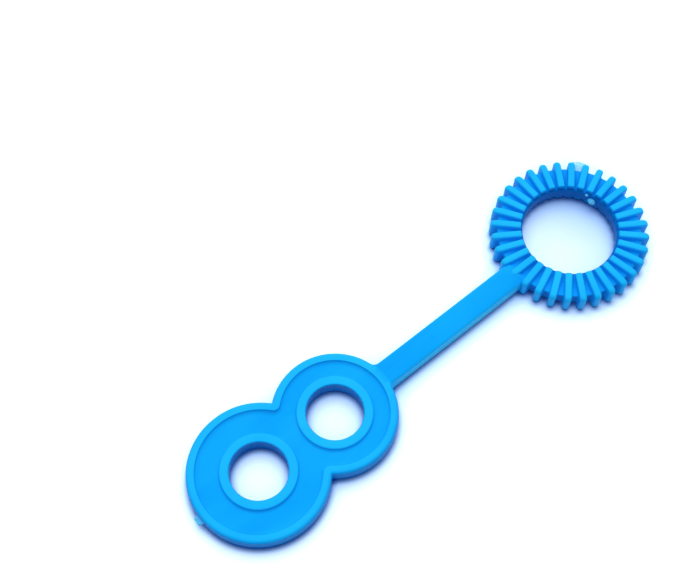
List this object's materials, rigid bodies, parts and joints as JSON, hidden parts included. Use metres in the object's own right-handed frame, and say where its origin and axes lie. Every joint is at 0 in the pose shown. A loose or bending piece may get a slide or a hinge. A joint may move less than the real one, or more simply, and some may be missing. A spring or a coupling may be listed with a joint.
{
  "type": "bubble wand",
  "caption": "Double-ended bubble wand: a ribbed dipping ring and a figure-eight head with two collared loops, joined by a flat handle.",
  "frame": {"origin": "centre of the ring's hole, at half the ring's thickness", "axes": "+X from the ring along the handle to the head, +Z along the ring's hole; both broad sides are alike"},
  "size_m": [0.1007, 0.0294, 0.0044],
  "materials": {
    "blue_plastic": "glossy",
    "torn_gate": "torn, stress-whitened"
  },
  "bodies": {
    "root": {"ring_hoop": "blue_plastic", "ring_rib_01": "blue_plastic", "ring_rib_02": "blue_plastic", "ring_rib_03": "blue_plastic", "ring_rib_04": "blue_plastic", "ring_rib_05": "blue_plastic", "ring_rib_06": "blue_plastic", "ring_rib_07": "blue_plastic", "ring_rib_08": "blue_plastic", "ring_rib_09": "blue_plastic", "ring_rib_10": "blue_plastic", "ring_rib_11": "blue_plastic", "ring_rib_12": "blue_plastic", "ring_rib_13": "blue_plastic", "ring_rib_14": "blue_plastic", "ring_rib_15": "blue_plastic", "ring_rib_16": "blue_plastic", "ring_rib_17": "blue_plastic", "ring_rib_18": "blue_plastic", "ring_rib_19": "blue_plastic", "ring_rib_20": "blue_plastic", "ring_rib_21": "blue_plastic", "ring_rib_22": "blue_plastic", "ring_rib_23": "blue_plastic", "ring_rib_24": "blue_plastic", "ring_rib_25": "blue_plastic", "ring_rib_26": "blue_plastic", "ring_rib_27": "blue_plastic", "ring_rib_28": "blue_plastic", "ring_rib_29": "blue_plastic", "ring_rib_30": "blue_plastic", "ring_rib_31": "blue_plastic", "ring_rib_32": "blue_plastic", "handle_bar": "blue_plastic", "head_rim": "blue_plastic", "head_web": "blue_plastic", "near_loop_collar": "blue_plastic", "far_loop_collar": "blue_plastic", "gate_nub": "torn_gate"}
  },
  "joints": []
}
